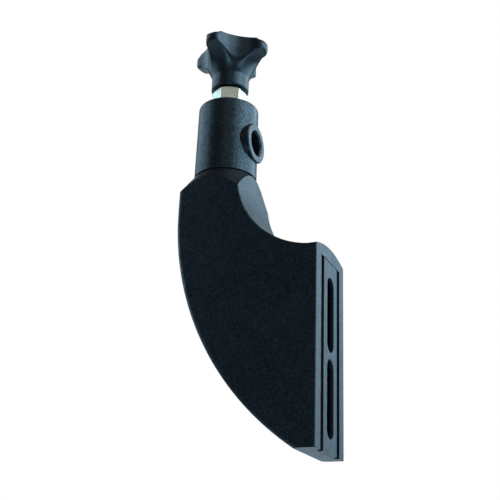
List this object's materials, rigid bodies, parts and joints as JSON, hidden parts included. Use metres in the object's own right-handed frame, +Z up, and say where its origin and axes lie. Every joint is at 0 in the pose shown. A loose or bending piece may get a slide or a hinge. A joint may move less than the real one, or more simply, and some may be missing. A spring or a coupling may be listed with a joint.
{
  "type": "wall guitar hanger bracket",
  "caption": "Curved black wall bracket arm with a hook-on slotted wall strip, a swivelling clamp head with a rod socket, and a star knob with a lock nut.",
  "frame": {"origin": "on the wall plane, midway between the two screw slots of the wall strip", "axes": "+Z up, +Y into the wall, so the arm reaches out along -Y; X runs across the arm, which is symmetric about X = 0"},
  "size_m": [0.0438, 0.0789, 0.2213],
  "materials": {
    "strip_paint": "fine matte black coating on steel strip",
    "arm_paint": "fine matte blue-black coating",
    "insert_brass": "turned brass",
    "ring_plastic": "black acetal",
    "screw_steel": "black oxide",
    "spring_steel": "plain spring steel",
    "head_paint": "satin black",
    "bush_paint": "satin black",
    "washer_zinc": "zinc plated",
    "nut_zinc": "zinc plated",
    "pad_plastic": "natural nylon",
    "stud_zinc": "zinc plated",
    "knob_plastic": "satin black moulding"
  },
  "bodies": {
    "wall_strip": {"wall_strip": "strip_paint"},
    "arm": {"arm_body": "arm_paint", "thread_insert": "insert_brass", "swivel_ring": "ring_plastic", "pivot_screw": "screw_steel", "disc_spring": "spring_steel"},
    "head": {"swivel_head": "head_paint", "socket_bush": "bush_paint"},
    "clamp_pad": {"thrust_pad": "pad_plastic"},
    "knob": {"star_knob": "knob_plastic", "clamp_screw": "stud_zinc"},
    "nut_washer": {"flat_washer": "washer_zinc"},
    "lock_nut": {"hex_lock_nut": "nut_zinc"}
  },
  "joints": [
    {"name": "arm_lift", "type": "slide", "parent": "wall_strip", "child": "arm", "axis": [0, 0, 1], "range_m": [0, 0.007]},
    {"name": "head_swivel", "type": "hinge", "parent": "arm", "child": "head", "pos_m": [0, -0.057, 0.1], "axis": [0, 0, 1], "continuous": true},
    {"name": "screw_travel", "type": "slide", "parent": "head", "child": "clamp_pad", "axis": [0, 0, 1], "range_m": [-0.0006, 0.0039]},
    {"name": "knob_turn", "type": "hinge", "parent": "clamp_pad", "child": "knob", "pos_m": [0, -0.057, 0.16], "axis": [0, 0, 1], "range_deg": [-144, 936]},
    {"name": "washer_travel", "type": "slide", "parent": "head", "child": "nut_washer", "axis": [0, 0, 1], "range_m": [0, 0.0003]},
    {"name": "nut_turn", "type": "hinge", "parent": "nut_washer", "child": "lock_nut", "pos_m": [0, -0.057, 0.144], "axis": [0, 0, 1], "range_deg": [0, 72]}
  ],
  "couplings": [
    {"joint": "knob_turn", "follows": "screw_travel", "rad_per_m": 4188.8},
    {"joint": "nut_turn", "follows": "washer_travel", "rad_per_m": 4188.8}
  ]
}
